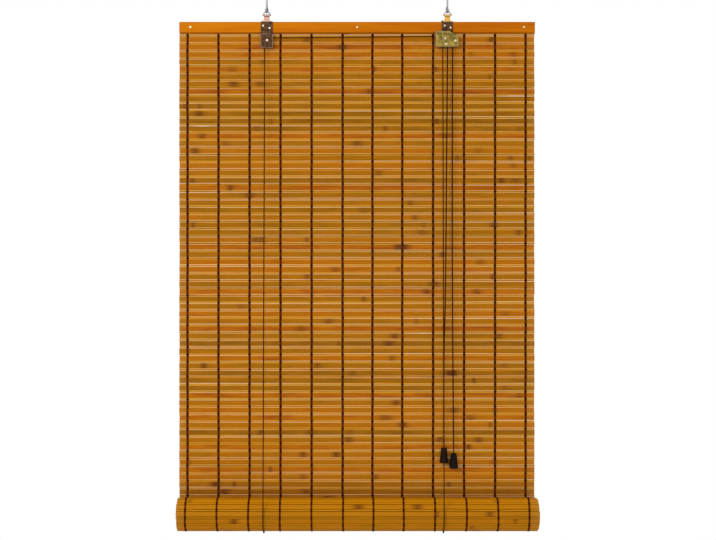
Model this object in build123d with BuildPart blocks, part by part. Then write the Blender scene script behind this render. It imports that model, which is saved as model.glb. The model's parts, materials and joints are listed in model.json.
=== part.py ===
import math
import os

from build123d import *

os.makedirs("parts", exist_ok=True)

# Bamboo roll up blind. X runs across it, Y away from the room and Z up, in millimetres.
# The origin is in the ceiling plane, midway between the two screw hooks.

# Fits
running_clearance = 0.25
seat_clearance = 0.1
cut_overrun = 1.0

# Mat of wide slats and thin sticks
blind_width = 800
slat_thickness = 2.0
wide_slat_height = 11.3
thin_stick_height = 3.4
slat_gap = 1.0
flat_pitch_count = 66
web_thickness = 0.8
gap_margin = 20
closed_gap_every = 22

# Warp threads
warp_count = 12
warp_width = 3.6
warp_thickness = 0.8
warp_edge_distance = 18.5
warp_end_gap = 0.5

# Roll
roll_radius = 39.8
turn_pitch = 5.0
groove_depth = 0.6
rolled_pitch_count = 28
roll_warp_facets = 16
roll_warp_thickness = 0.6
roll_warp_turn = 335
bottom_batten_height = 26
bottom_batten_thickness = 8
bottom_batten_edge = 1.5

# Head rail
batten_height = 24
batten_thickness = 8
batten_edge = 1.5
rivet_edge_distance = 25
rivet_radius = 1.5
rivet_head_radius = 2.8
rivet_head_height = 1.2
head_taper = 25
rivet_tail_radius = 2.4
rivet_tail_height = 0.7

# Screw hooks
hanger_reach = 203
hook_wire_radius = 2.0
hook_curl_radius = 5.0
hook_curl_drop = 34.1
hook_neck_angle = 50
hook_tip_angle = 20
hook_turn = 20
hook_screw_length = 18
hook_point_length = 4
hook_point_radius = 0.4

# Wire rings
ring_wire_radius = 1.1
ring_half_width = 10.0
ring_peak_height = 13.0
ring_apex_radius = 3.8
ring_corner_radius = 1.2

# Hanger plates
sheet = 1.2
neck_width = 12.6
neck_height = 13.5
neck_shoulder = 4.0
loop_mouth = 0.8
left_plate_width = 27
right_strap_width = 25
plate_corner = 2.0
nail_radius = 1.1
nail_length = 6.5
nail_head_radius = 2.6
nail_head_height = 1.0
left_nails = [(-8.3, -9.0), (6.3, -14.6)]
right_nails = [(-6.1, -8.8), (7.2, -13.3)]

# Lift cords and grooved wheels
cord_radius = 1.1
cord_facets = 8
wheel_width = 4.4
wheel_side_gap = 0.4
wheel_rim = 0.7
wheel_flange = 1.6
groove_floor = 2.6
axle_radius = 1.6
axle_head_radius = 3.0

# Left pulley box
pulley_pitch_radius = 5.6
pulley_offset = 0.9
pulley_drop = 42.4
box_top_drop = 27.5
box_bottom_drop = 59.5
cover_sheet = 1.0
cover_edge = 0.8
cord_slot_margin = 0.7

# Cord lock
lock_pitch_radius = 5.4
lock_left = 26.8
lock_right = 24.3
lock_top_drop = 22.2
lock_bottom_drop = 57.7
lock_slope_start = 4.0
lock_slope_drop = 34.0
front_wheel_offset = -5.4
rear_wheel_offset = 6.3
lock_wheel_drop = 38.8
left_cam_offset = -3.8
left_cam_drop = 51.4
left_cam_hub = 2.5
left_cam_tail_radius = 1.2
left_cam_tail_reach = 4.0
left_cam_tail_angle = 225
right_cam_offset = 17.4
right_cam_drop = 44.2
right_cam_hub = 3.0
right_cam_nose_radius = 2.0
right_cam_nose_drop = 6.0
cam_tooth_radius = 0.35
cam_tooth_step = 26
cam_tooth_count = 3
divider_top_drop = 47.2
divider_bottom_drop = 57.0
divider_side_gap = 0.2
bottom_slot_left = 16.2
bottom_slot_right = 17.6

# Knots, pull cords and tassels
knot_radius = 2.8
knot_lift = 2.2
tassel_height = 34
tassel_top_radius = 6.4
tassel_bottom_radius = 9.8
tassel_edge = 1.2
tassel_wall = 2.0
tassel_roof = 9.0
left_tassel_shift = -7.8
right_tassel_shift = 2.3
tassel_mat_gap = 0.4
left_pull_length = 900
right_pull_length = 912

# Heights, from the ceiling down
hook_seat_z = -(hook_curl_drop + hook_curl_radius)
ring_apex_z = hook_seat_z + hook_wire_radius + ring_wire_radius + running_clearance
ring_half_apex = math.atan2(ring_half_width, ring_peak_height)
ring_height = ring_peak_height - ring_apex_radius * (1 / math.sin(ring_half_apex) - 1)
bar_z = ring_apex_z - ring_height
head_top_z = bar_z - neck_height
head_mid_z = head_top_z - batten_height / 2
head_bottom_z = head_top_z - batten_height
slat_pitch = wide_slat_height + thin_stick_height + 2 * slat_gap
roll_axis_z = head_top_z - flat_pitch_count * slat_pitch

# Depths, from the ring bar outwards
loop_inner_radius = ring_wire_radius + running_clearance
loop_outer_radius = loop_inner_radius + sheet
plate_front_y = loop_inner_radius
plate_back_y = loop_outer_radius
mat_front_y = plate_back_y + batten_thickness
mat_back_y = mat_front_y + slat_thickness
mat_mid_y = mat_front_y + slat_thickness / 2
rail_back_y = mat_back_y + batten_thickness
roll_mid_radius = roll_radius - slat_thickness / 2
roll_axis_y = mat_mid_y - roll_mid_radius
rear_plane_y = plate_front_y - wheel_side_gap - wheel_width / 2
front_plane_y = rear_plane_y - wheel_width - wheel_side_gap
box_depth = wheel_width + 2 * wheel_side_gap
lock_depth = 2 * wheel_width + 3 * wheel_side_gap

# Places of the wheels and cords
left_x = -hanger_reach
right_x = hanger_reach
pulley_x = left_x + pulley_offset
pulley_z = head_top_z - pulley_drop
front_wheel_x = right_x + front_wheel_offset
rear_wheel_x = right_x + rear_wheel_offset
lock_wheel_z = head_top_z - lock_wheel_drop
lock_exit_z = head_top_z - lock_bottom_drop
left_cord_x = pulley_x - pulley_pitch_radius
right_cord_x = front_wheel_x - lock_pitch_radius
left_pull_x = front_wheel_x + lock_pitch_radius
right_pull_x = rear_wheel_x + lock_pitch_radius
left_tassel_y = mat_front_y - tassel_bottom_radius - tassel_mat_gap
hole_radius = axle_radius + seat_clearance
warp_spacing = (blind_width - 2 * warp_edge_distance) / (warp_count - 1)
warp_places = [(n - (warp_count - 1) / 2) * warp_spacing for n in range(warp_count)]
rivet_reach = blind_width / 2 - rivet_edge_distance
rivet_places = [-rivet_reach, 0, rivet_reach]


def save(builder, name):
    builder.part.label = name
    export_step(builder.part, f"parts/{name}.step")


def upright(y):
    """The XZ plane at a depth, with X to the right and Z up."""
    return Plane(origin=(0, y, 0), x_dir=(1, 0, 0), z_dir=(0, -1, 0))


# Screw hooks, with the curl turned a little outwards
neck_cos = math.cos(math.radians(hook_neck_angle))
neck_sin = math.sin(math.radians(hook_neck_angle))
hook_neck_radius = hook_curl_radius * neck_cos / (1 - neck_cos)
hook_shank_end = -hook_curl_drop + (hook_neck_radius + hook_curl_radius) * neck_sin
hook_straight = hook_screw_length - hook_point_length
curl_start = 180 - hook_neck_angle
for name, side in (("left_hook", -1), ("right_hook", 1)):
    hook_x = side * hanger_reach
    lean_sin = side * math.sin(math.radians(hook_turn))
    lean_cos = math.cos(math.radians(hook_turn))
    hook_plane = Plane(
        origin=(hook_x, 0, 0), x_dir=(lean_sin, -lean_cos, 0), z_dir=(-lean_cos, -lean_sin, 0)
    )
    with BuildPart() as hook:
        with BuildLine(hook_plane) as curl:
            CenterArc((-hook_neck_radius, hook_shank_end), hook_neck_radius, 0, -hook_neck_angle)
            CenterArc(
                (0, -hook_curl_drop), hook_curl_radius, curl_start, 360 + hook_tip_angle - curl_start
            )
        with BuildSketch(Plane(origin=(hook_x, 0, hook_shank_end), z_dir=(0, 0, -1))):
            Circle(hook_wire_radius)
        sweep()
        with BuildSketch(Plane.XY.offset(hook_shank_end)):
            with Locations((hook_x, 0)):
                Circle(hook_wire_radius)
        extrude(amount=hook_straight - hook_shank_end)
        with Locations((hook_x, 0, hook_straight + hook_point_length / 2)):
            Cone(hook_wire_radius, hook_point_radius, hook_point_length)
    save(hook, name)

# Triangular wire rings, hanging in the hooks
for name, ring_x in (("left_ring", left_x), ("right_ring", right_x)):
    with BuildPart() as ring:
        peak = (ring_x, bar_z + ring_peak_height)
        corners = [(ring_x + side * ring_half_width, bar_z) for side in (1, -1)]
        legs = [((peak[0] + c[0]) / 2, (peak[1] + c[1]) / 2) for c in corners]
        with BuildLine(upright(0)) as wire:
            FilletPolyline(legs[0], corners[0], corners[1], legs[1], radius=ring_corner_radius)
            FilletPolyline(legs[1], peak, legs[0], radius=ring_apex_radius)
        leg_run = Vector(corners[0][0] - peak[0], 0, corners[0][1] - peak[1])
        with BuildSketch(Plane(origin=(legs[0][0], 0, legs[0][1]), z_dir=leg_run)):
            Circle(ring_wire_radius)
        sweep()
    save(ring, name)

# Battens of the head rail
with BuildPart() as front_batten:
    with BuildSketch(Plane.YZ):
        with Locations((plate_back_y + batten_thickness / 2, head_mid_z)):
            Rectangle(batten_thickness, batten_height)
    extrude(amount=blind_width / 2, both=True)
    front_edges = front_batten.edges().filter_by(Axis.X).group_by(Axis.Y)[0]
    fillet(front_edges, batten_edge)
    with BuildSketch(upright(plate_back_y)):
        with Locations(*[(x, head_mid_z) for x in rivet_places]):
            Circle(rivet_radius + seat_clearance)
    extrude(amount=-batten_thickness - cut_overrun, mode=Mode.SUBTRACT)
    with BuildSketch(upright(plate_back_y)):
        for plate_x, nails in ((left_x, left_nails), (right_x, right_nails)):
            with Locations(*[(plate_x + x, head_top_z + z) for x, z in nails]):
                Circle(nail_radius + seat_clearance)
    extrude(amount=-nail_length, mode=Mode.SUBTRACT)
save(front_batten, "front_batten")

sling_radius = roll_radius + seat_clearance + roll_warp_thickness + running_clearance + cord_radius
rear_cord_y = roll_axis_y + sling_radius
with BuildPart() as rear_batten:
    with BuildSketch(Plane.YZ):
        with Locations((mat_back_y + batten_thickness / 2, head_mid_z)):
            Rectangle(batten_thickness, batten_height)
    extrude(amount=blind_width / 2, both=True)
    rear_edges = rear_batten.edges().filter_by(Axis.X).group_by(Axis.Y)[-1]
    fillet(rear_edges, batten_edge)
    with BuildSketch(upright(mat_back_y)):
        with Locations(*[(x, head_mid_z) for x in rivet_places]):
            Circle(rivet_radius + seat_clearance)
    extrude(amount=-batten_thickness - cut_overrun, mode=Mode.SUBTRACT)
    with BuildSketch(Plane.XY.offset(head_bottom_z)):
        with Locations((left_cord_x, rear_cord_y), (right_cord_x, rear_cord_y)):
            Circle(cord_radius + running_clearance)
    extrude(amount=batten_height, mode=Mode.SUBTRACT)
save(rear_batten, "rear_batten")

with BuildPart() as batten_rivets:
    rail_depth = 2 * batten_thickness + slat_thickness
    with BuildSketch(upright(rail_back_y)):
        with Locations(*[(x, head_mid_z) for x in rivet_places]):
            Circle(rivet_radius)
    extrude(amount=rail_depth)
    with BuildSketch(upright(plate_back_y)):
        with Locations(*[(x, head_mid_z) for x in rivet_places]):
            Circle(rivet_head_radius)
    extrude(amount=rivet_head_height, taper=head_taper)
    with BuildSketch(upright(rail_back_y)):
        with Locations(*[(x, head_mid_z) for x in rivet_places]):
            Circle(rivet_tail_radius)
    extrude(amount=-rivet_tail_height)
save(batten_rivets, "batten_rivets")

# Flat mat: slats and sticks on a thin web, with see-through gaps between them
comb = [(mat_back_y, roll_axis_z), (mat_back_y, head_top_z)]
web_front_y = mat_back_y - web_thickness
gap_places = []
slat_top = head_top_z
for n in range(flat_pitch_count):
    for height in (wide_slat_height, thin_stick_height):
        slat_bottom = slat_top - height
        comb += [(mat_front_y, slat_top), (mat_front_y, slat_bottom)]
        comb += [(web_front_y, slat_bottom), (web_front_y, slat_bottom - slat_gap)]
        gap_places.append(slat_bottom - slat_gap / 2)
        slat_top = slat_bottom - slat_gap
open_gaps = [
    (0, z)
    for n, z in enumerate(gap_places)
    if roll_axis_z + roll_radius < z - slat_gap
    and z + slat_gap < head_bottom_z
    and n % closed_gap_every
]
with BuildPart() as slat_mat:
    with BuildSketch(Plane.YZ):
        with BuildLine():
            Polyline(*comb, close=True)
        make_face()
    extrude(amount=blind_width / 2, both=True)
    with BuildSketch(upright(mat_back_y + cut_overrun)):
        with Locations(*open_gaps):
            Rectangle(blind_width - 2 * gap_margin, slat_gap)
    extrude(amount=slat_thickness + cut_overrun, mode=Mode.SUBTRACT)
    with BuildSketch(upright(mat_back_y + cut_overrun)):
        with Locations(*[(x, head_mid_z) for x in rivet_places]):
            Circle(rivet_radius + seat_clearance)
    extrude(amount=slat_thickness + 2 * cut_overrun, mode=Mode.SUBTRACT)
save(slat_mat, "slat_mat")

warp_length = head_bottom_z - roll_axis_z - warp_end_gap
with BuildPart() as warp_threads:
    for strand_y in (mat_front_y - warp_thickness / 2, mat_back_y + warp_thickness / 2):
        with Locations(*[(x, strand_y, head_bottom_z - warp_length / 2) for x in warp_places]):
            Box(warp_width, warp_thickness, warp_length)
save(warp_threads, "warp_threads")

# Hanger plates: a neck rolled round the ring bar, and a plate on the front batten
box_top_z = head_top_z - box_top_drop
box_bottom_z = head_top_z - box_bottom_drop
left_half = left_plate_width / 2
left_outline = [
    (neck_width / 2, bar_z),
    (neck_width / 2, head_top_z + neck_shoulder),
    (left_half, head_top_z),
    (left_half, box_bottom_z),
]
lock_outline = [
    (-lock_left, lock_exit_z),
    (-lock_left, head_top_z - lock_top_drop),
    (lock_slope_start, head_top_z - lock_top_drop),
    (lock_right, head_top_z - lock_slope_drop),
    (lock_right, lock_exit_z),
]
strap_half = right_strap_width / 2
right_outline = [
    (neck_width / 2, bar_z),
    (neck_width / 2, head_top_z + neck_shoulder),
    (strap_half, head_top_z),
    (strap_half, lock_exit_z),
]
lock_rivet_places = [
    (front_wheel_x, lock_wheel_z),
    (right_x + left_cam_offset, head_top_z - left_cam_drop),
    (right_x + right_cam_offset, head_top_z - right_cam_drop),
]
lock_pin_place = (rear_wheel_x, lock_wheel_z)
plates = (
    ("left_hanger_plate", left_x, left_outline, [], left_nails, [(pulley_x, pulley_z)]),
    ("right_hanger_plate", right_x, right_outline, lock_outline, right_nails,
     lock_rivet_places + [lock_pin_place]),
)
for name, plate_x, outline, wing, nails, axles in plates:
    with BuildPart() as plate:
        mirrored = [(-x, z) for x, z in reversed(outline)]
        with BuildSketch(upright(plate_back_y)):
            with Locations((plate_x, 0)):
                Polygon(*(outline + mirrored), align=None)
                if wing:
                    Polygon(*wing, align=None)
        extrude(amount=sheet)
        lower_edges = plate.edges().filter_by(Axis.Y).group_by(Axis.Z)[0]
        fillet(lower_edges, plate_corner)
        with BuildSketch(Plane.YZ.offset(plate_x)):
            with Locations((0, bar_z)):
                Circle(loop_outer_radius)
                Circle(loop_inner_radius, mode=Mode.SUBTRACT)
            with Locations((plate_front_y - loop_mouth / 2, bar_z - loop_outer_radius / 2)):
                Rectangle(loop_mouth, loop_outer_radius, mode=Mode.SUBTRACT)
        extrude(amount=neck_width / 2, both=True)
        with BuildSketch(upright(plate_back_y)):
            with Locations(*[(plate_x + x, head_top_z + z) for x, z in nails]):
                Circle(nail_radius + seat_clearance)
            with Locations(*axles):
                Circle(hole_radius)
        extrude(amount=sheet, mode=Mode.SUBTRACT)
    save(plate, name)

with BuildPart() as plate_nails:
    for plate_x, nails in ((left_x, left_nails), (right_x, right_nails)):
        places = [(plate_x + x, head_top_z + z) for x, z in nails]
        with BuildSketch(upright(plate_front_y)):
            with Locations(*places):
                Circle(nail_radius)
        extrude(amount=-nail_length)
        with BuildSketch(upright(plate_front_y)):
            with Locations(*places):
                Circle(nail_head_radius)
        extrude(amount=nail_head_height, taper=head_taper)
save(plate_nails, "plate_nails")

# Pressed covers of the pulley box and of the cord lock, open where the cords pass
cross_slot_y = rear_plane_y - cord_radius - cord_slot_margin
cross_slot_depth = plate_front_y - cross_slot_y
cross_slot_height = 2 * (cord_radius + cord_slot_margin)
box_outline = [
    (-left_half, box_bottom_z),
    (-left_half, box_top_z),
    (left_half, box_top_z),
    (left_half, box_bottom_z),
]
with BuildPart() as left_pulley_cover:
    with BuildSketch(upright(plate_front_y)):
        with Locations((left_x, 0)):
            Polygon(*box_outline, align=None)
    extrude(amount=box_depth + cover_sheet)
    rims = left_pulley_cover.edges().group_by(Axis.Y)[0]
    chamfer(rims, cover_edge)
    with BuildSketch(upright(plate_front_y)):
        with Locations((left_x, 0)):
            Polygon(*box_outline, align=None)
        offset(amount=-cover_sheet, mode=Mode.REPLACE, kind=Kind.INTERSECTION)
    extrude(amount=box_depth, mode=Mode.SUBTRACT)
    inner_half = left_half - cover_sheet
    with Locations((left_x, plate_front_y - box_depth / 2, box_bottom_z)):
        Box(2 * inner_half, box_depth, 2 * cover_sheet + cut_overrun, mode=Mode.SUBTRACT)
    with Locations(
        (left_x + left_half, plate_front_y - cross_slot_depth / 2, pulley_z + pulley_pitch_radius)
    ):
        Box(2 * cover_sheet + cut_overrun, cross_slot_depth, cross_slot_height, mode=Mode.SUBTRACT)
    with BuildSketch(upright(plate_front_y)):
        with Locations((pulley_x, pulley_z)):
            Circle(hole_radius)
    extrude(amount=box_depth + cover_sheet, mode=Mode.SUBTRACT)
save(left_pulley_cover, "left_pulley_cover")

with BuildPart() as lock_cover:
    with BuildSketch(upright(plate_front_y)):
        with Locations((right_x, 0)):
            Polygon(*lock_outline, align=None)
    extrude(amount=lock_depth + cover_sheet)
    rims = lock_cover.edges().group_by(Axis.Y)[0]
    chamfer(rims, cover_edge)
    with BuildSketch(upright(plate_front_y)):
        with Locations((right_x, 0)):
            Polygon(*lock_outline, align=None)
        offset(amount=-cover_sheet, mode=Mode.REPLACE, kind=Kind.INTERSECTION)
    extrude(amount=lock_depth, mode=Mode.SUBTRACT)
    slot_mid_x = right_x + (bottom_slot_right - bottom_slot_left) / 2
    with Locations((slot_mid_x, plate_front_y - lock_depth / 2, lock_exit_z)):
        Box(bottom_slot_left + bottom_slot_right, lock_depth, 2 * cover_sheet + cut_overrun,
            mode=Mode.SUBTRACT)
    with Locations(
        (right_x - lock_left, plate_front_y - cross_slot_depth / 2, lock_wheel_z + lock_pitch_radius)
    ):
        Box(2 * cover_sheet + cut_overrun, cross_slot_depth, cross_slot_height, mode=Mode.SUBTRACT)
    with BuildSketch(upright(plate_front_y)):
        with Locations(*(lock_rivet_places + [lock_pin_place])):
            Circle(hole_radius)
    extrude(amount=lock_depth + cover_sheet, mode=Mode.SUBTRACT)
save(lock_cover, "lock_cover")

# Riveted axles, and the flush pin of the rear wheel
axle_sets = (
    ("left_pulley_axle", [(pulley_x, pulley_z)], box_depth + cover_sheet, True),
    ("lock_rivets", lock_rivet_places, lock_depth + cover_sheet, True),
    ("lock_pin", [lock_pin_place], lock_depth + cover_sheet, False),
)
for name, places, reach, headed in axle_sets:
    with BuildPart() as axle:
        with BuildSketch(upright(plate_back_y)):
            with Locations(*places):
                Circle(axle_radius)
        extrude(amount=sheet + reach)
        if headed:
            with BuildSketch(upright(plate_front_y - reach)):
                with Locations(*places):
                    Circle(axle_head_radius)
            extrude(amount=rivet_head_height, taper=head_taper)
            with BuildSketch(upright(plate_back_y)):
                with Locations(*places):
                    Circle(rivet_tail_radius)
            extrude(amount=-rivet_tail_height)
    save(axle, name)

# Grooved wheels
wheels = (
    ("left_pulley", pulley_x, rear_plane_y, pulley_z, pulley_pitch_radius),
    ("lock_front_pulley", front_wheel_x, front_plane_y, lock_wheel_z, lock_pitch_radius),
    ("lock_rear_pulley", rear_wheel_x, rear_plane_y, lock_wheel_z, lock_pitch_radius),
)
for name, wheel_x, wheel_y, wheel_z, pitch_radius in wheels:
    bore = axle_radius + running_clearance
    rim_radius = pitch_radius + wheel_flange
    floor_radius = pitch_radius - cord_radius - seat_clearance
    half = wheel_width / 2
    section = [
        (bore, -half), (rim_radius, -half), (rim_radius, wheel_rim - half),
        (floor_radius, -groove_floor / 2), (floor_radius, groove_floor / 2),
        (rim_radius, half - wheel_rim), (rim_radius, half), (bore, half),
    ]
    with BuildPart() as wheel:
        with BuildSketch(Plane.XY.offset(wheel_z)):
            with Locations((wheel_x, wheel_y)):
                Polygon(*section, align=None)
        revolve(axis=Axis((wheel_x, wheel_y, wheel_z), (0, 1, 0)))
    save(wheel, name)

# Toothed cams and the block that they press the cords against
tooth_angles = [(n - (cam_tooth_count - 1) / 2) * cam_tooth_step for n in range(cam_tooth_count)]
cam_depth = wheel_width
with BuildPart() as lock_left_cam:
    cam_x, cam_z = lock_rivet_places[1]
    tail_angle = math.radians(left_cam_tail_angle)
    tail_x = cam_x + left_cam_tail_reach * math.cos(tail_angle)
    tail_z = cam_z + left_cam_tail_reach * math.sin(tail_angle)
    with BuildSketch(upright(front_plane_y + cam_depth / 2)):
        with Locations((cam_x, cam_z)):
            Circle(left_cam_hub)
        with Locations((tail_x, tail_z)):
            Circle(left_cam_tail_radius)
        make_hull()
        for angle in tooth_angles:
            turn = math.radians(angle)
            with Locations(
                (cam_x + left_cam_hub * math.cos(turn), cam_z + left_cam_hub * math.sin(turn))
            ):
                Circle(cam_tooth_radius, mode=Mode.SUBTRACT)
        with Locations((cam_x, cam_z)):
            Circle(axle_radius + running_clearance, mode=Mode.SUBTRACT)
    extrude(amount=cam_depth)
save(lock_left_cam, "lock_left_cam")

with BuildPart() as lock_right_cam:
    cam_x, cam_z = lock_rivet_places[2]
    nose_x = right_pull_x + cord_radius + seat_clearance + right_cam_nose_radius
    nose_z = cam_z - right_cam_nose_drop
    with BuildSketch(upright(rear_plane_y + cam_depth / 2)):
        with Locations((cam_x, cam_z)):
            Circle(right_cam_hub)
        with Locations((nose_x, nose_z)):
            Circle(right_cam_nose_radius)
        make_hull()
        for angle in tooth_angles:
            turn = math.radians(180 + angle)
            with Locations((
                nose_x + right_cam_nose_radius * math.cos(turn),
                nose_z + right_cam_nose_radius * math.sin(turn),
            )):
                Circle(cam_tooth_radius, mode=Mode.SUBTRACT)
        with Locations((cam_x, cam_z)):
            Circle(axle_radius + running_clearance, mode=Mode.SUBTRACT)
    extrude(amount=cam_depth)
save(lock_right_cam, "lock_right_cam")

with BuildPart() as lock_divider:
    divider_left = left_pull_x + cord_radius + divider_side_gap
    divider_right = right_pull_x - cord_radius - divider_side_gap
    divider_height = divider_bottom_drop - divider_top_drop
    with Locations((
        (divider_left + divider_right) / 2,
        plate_front_y - lock_depth / 2,
        head_top_z - divider_top_drop - divider_height / 2,
    )):
        Box(divider_right - divider_left, lock_depth, divider_height)
save(lock_divider, "lock_divider")

# Left lift cord from its pulley across to the lock and down to the pull
run_x = rear_wheel_x - pulley_x
run_z = lock_wheel_z - pulley_z
run_length = math.hypot(run_x, run_z)
lift_angle = math.degrees(
    math.atan2(run_z, run_x) + math.acos((pulley_pitch_radius - lock_pitch_radius) / run_length)
)
lift_cos = math.cos(math.radians(lift_angle))
lift_sin = math.sin(math.radians(lift_angle))
with BuildPart() as cross_cord:
    with BuildLine(upright(rear_plane_y)):
        CenterArc((pulley_x, pulley_z), pulley_pitch_radius, 180, lift_angle - 180)
        Line(
            (pulley_x + pulley_pitch_radius * lift_cos, pulley_z + pulley_pitch_radius * lift_sin),
            (rear_wheel_x + lock_pitch_radius * lift_cos, lock_wheel_z + lock_pitch_radius * lift_sin),
        )
        CenterArc((rear_wheel_x, lock_wheel_z), lock_pitch_radius, lift_angle, -lift_angle)
        Line((right_pull_x, lock_wheel_z), (right_pull_x, lock_exit_z))
    with BuildSketch(Plane(origin=(left_cord_x, rear_plane_y, pulley_z), z_dir=(0, 0, 1))):
        Circle(cord_radius)
    sweep()
save(cross_cord, "cross_cord")

# Right lift cord over the front wheel of the lock
with BuildPart() as lock_cord:
    with BuildLine(upright(front_plane_y)):
        CenterArc((front_wheel_x, lock_wheel_z), lock_pitch_radius, 180, -180)
        Line((left_pull_x, lock_wheel_z), (left_pull_x, lock_exit_z))
    with BuildSketch(Plane(origin=(right_cord_x, front_plane_y, lock_wheel_z), z_dir=(0, 0, 1))):
        Circle(cord_radius)
    sweep()
save(lock_cord, "lock_cord")

# Lift cords in front of the mat, under the roll and up behind the mat
lift_cords = (
    ("left", left_cord_x, rear_plane_y, pulley_z),
    ("right", right_cord_x, front_plane_y, lock_wheel_z),
)
for side, cord_x, start_y, wheel_z in lift_cords:
    start_z = wheel_z - seat_clearance
    away = math.hypot(start_y - roll_axis_y, start_z - roll_axis_z)
    leave = math.atan2(start_z - roll_axis_z, start_y - roll_axis_y) + math.acos(sling_radius / away)
    end_y = roll_axis_y + sling_radius * math.cos(leave)
    end_z = roll_axis_z + sling_radius * math.sin(leave)
    leg = Vector(0, end_y - start_y, end_z - start_z)
    with BuildPart() as front_cord:
        with BuildSketch(Plane(origin=(cord_x, start_y, start_z), z_dir=leg)):
            Circle(cord_radius)
        extrude(amount=leg.length)
    save(front_cord, f"{side}_front_cord")
    with BuildPart() as rear_cord:
        with BuildSketch(Plane.XY.offset(roll_axis_z)):
            with Locations((cord_x, rear_cord_y)):
                Circle(cord_radius)
        extrude(amount=head_top_z - roll_axis_z)
    save(rear_cord, f"{side}_rear_cord")
    with BuildPart() as sling:
        with BuildSketch(Plane(origin=(cord_x, rear_cord_y, roll_axis_z), z_dir=(0, 0, -1))):
            RegularPolygon(cord_radius, cord_facets)
        revolve(
            axis=Axis((0, roll_axis_y, roll_axis_z), (-1, 0, 0)),
            revolution_arc=360 - math.degrees(leave),
        )
    save(sling, f"{side}_cord_sling")

with BuildPart() as cord_knots:
    for cord_x in (left_cord_x, right_cord_x):
        with Locations((cord_x, rear_cord_y, head_top_z + knot_lift)):
            Sphere(knot_radius)
    split(bisect_by=Plane.XY.offset(head_top_z), keep=Keep.TOP)
save(cord_knots, "cord_knots")

# Rolled-up part of the mat: a spiral of slats, ending in a flat stretch on the bottom batten


def spiral_radius(angle):
    return roll_mid_radius - turn_pitch * angle / (2 * math.pi)


def spiral_point(angle, radius):
    return Vector(roll_axis_y + radius * math.cos(angle), roll_axis_z - radius * math.sin(angle))


outer_side = []
inner_side = []
angle = 0
lengths = rolled_pitch_count * [wide_slat_height, thin_stick_height] + [bottom_batten_height]
for n, length in enumerate(lengths):
    radius = spiral_radius(angle)
    next_angle = angle + 2 * math.asin(length / 2 / radius)
    start = spiral_point(angle, radius)
    end = spiral_point(next_angle, spiral_radius(next_angle))
    along = (end - start).normalized()
    outward = Vector(-along.Y, along.X)
    if outward.dot(start - Vector(roll_axis_y, roll_axis_z)) < 0:
        outward = -outward
    half_skin = outward * (slat_thickness / 2)
    outer_side += [start + half_skin, end + half_skin]
    inner_side += [start - half_skin, end - half_skin]
    angle = next_angle
    if n < len(lengths) - 1:
        gap_angle = slat_gap / spiral_radius(angle)
        groove_angle = angle + gap_angle / 2
        groove_half = slat_thickness / 2 - groove_depth
        outer_side.append(spiral_point(groove_angle, spiral_radius(groove_angle) + groove_half))
        inner_side.append(spiral_point(groove_angle, spiral_radius(groove_angle) - groove_half))
        angle += gap_angle
flap_mid = (start + end) / 2
flap_plane = Plane(
    origin=(0, flap_mid.X, flap_mid.Y), x_dir=(1, 0, 0), z_dir=(0, -outward.X, -outward.Y)
)
with BuildPart() as rolled_mat:
    with BuildSketch(Plane.YZ):
        with BuildLine():
            Polyline(*[(p.X, p.Y) for p in outer_side + inner_side[::-1]], close=True)
        make_face()
    extrude(amount=blind_width / 2, both=True)
    with BuildSketch(flap_plane):
        with Locations(*[(x, 0) for x in rivet_places]):
            Circle(rivet_radius + seat_clearance)
    extrude(amount=slat_thickness, both=True, mode=Mode.SUBTRACT)
save(rolled_mat, "rolled_mat")

with BuildPart() as bottom_batten:
    with BuildSketch(flap_plane.offset(slat_thickness / 2)):
        Rectangle(blind_width, bottom_batten_height)
    extrude(amount=bottom_batten_thickness)
    inner_edges = bottom_batten.edges().filter_by(Axis.X)
    fillet(inner_edges, bottom_batten_edge)
    with BuildSketch(flap_plane):
        with Locations(*[(x, 0) for x in rivet_places]):
            Circle(rivet_radius + seat_clearance)
    extrude(amount=slat_thickness + bottom_batten_thickness, mode=Mode.SUBTRACT)
save(bottom_batten, "bottom_batten")

with BuildPart() as bottom_rivets:
    with BuildSketch(flap_plane.offset(-slat_thickness / 2)):
        with Locations(*[(x, 0) for x in rivet_places]):
            Circle(rivet_radius)
    extrude(amount=slat_thickness + bottom_batten_thickness)
    with BuildSketch(flap_plane.offset(-slat_thickness / 2)):
        with Locations(*[(x, 0) for x in rivet_places]):
            Circle(rivet_tail_radius)
    extrude(amount=-rivet_tail_height)
    with BuildSketch(flap_plane.offset(slat_thickness / 2 + bottom_batten_thickness)):
        with Locations(*[(x, 0) for x in rivet_places]):
            Circle(rivet_tail_radius)
    extrude(amount=rivet_tail_height)
save(bottom_rivets, "bottom_rivets")

with BuildPart() as roll_warp_threads:
    step = math.radians(roll_warp_turn / roll_warp_facets)
    under = []
    over = []
    for n in range(roll_warp_facets + 1):
        lap = (spiral_radius(n * step) + slat_thickness / 2 + seat_clearance) / math.cos(step / 2)
        under.append(spiral_point(n * step, lap))
        over.append(spiral_point(n * step, lap + roll_warp_thickness))
    for warp_x in warp_places:
        with BuildSketch(Plane.YZ.offset(warp_x)):
            with BuildLine():
                Polyline(*[(p.X, p.Y) for p in under + over[::-1]], close=True)
            make_face()
    extrude(amount=warp_width / 2, both=True)
save(roll_warp_threads, "roll_warp_threads")

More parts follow.
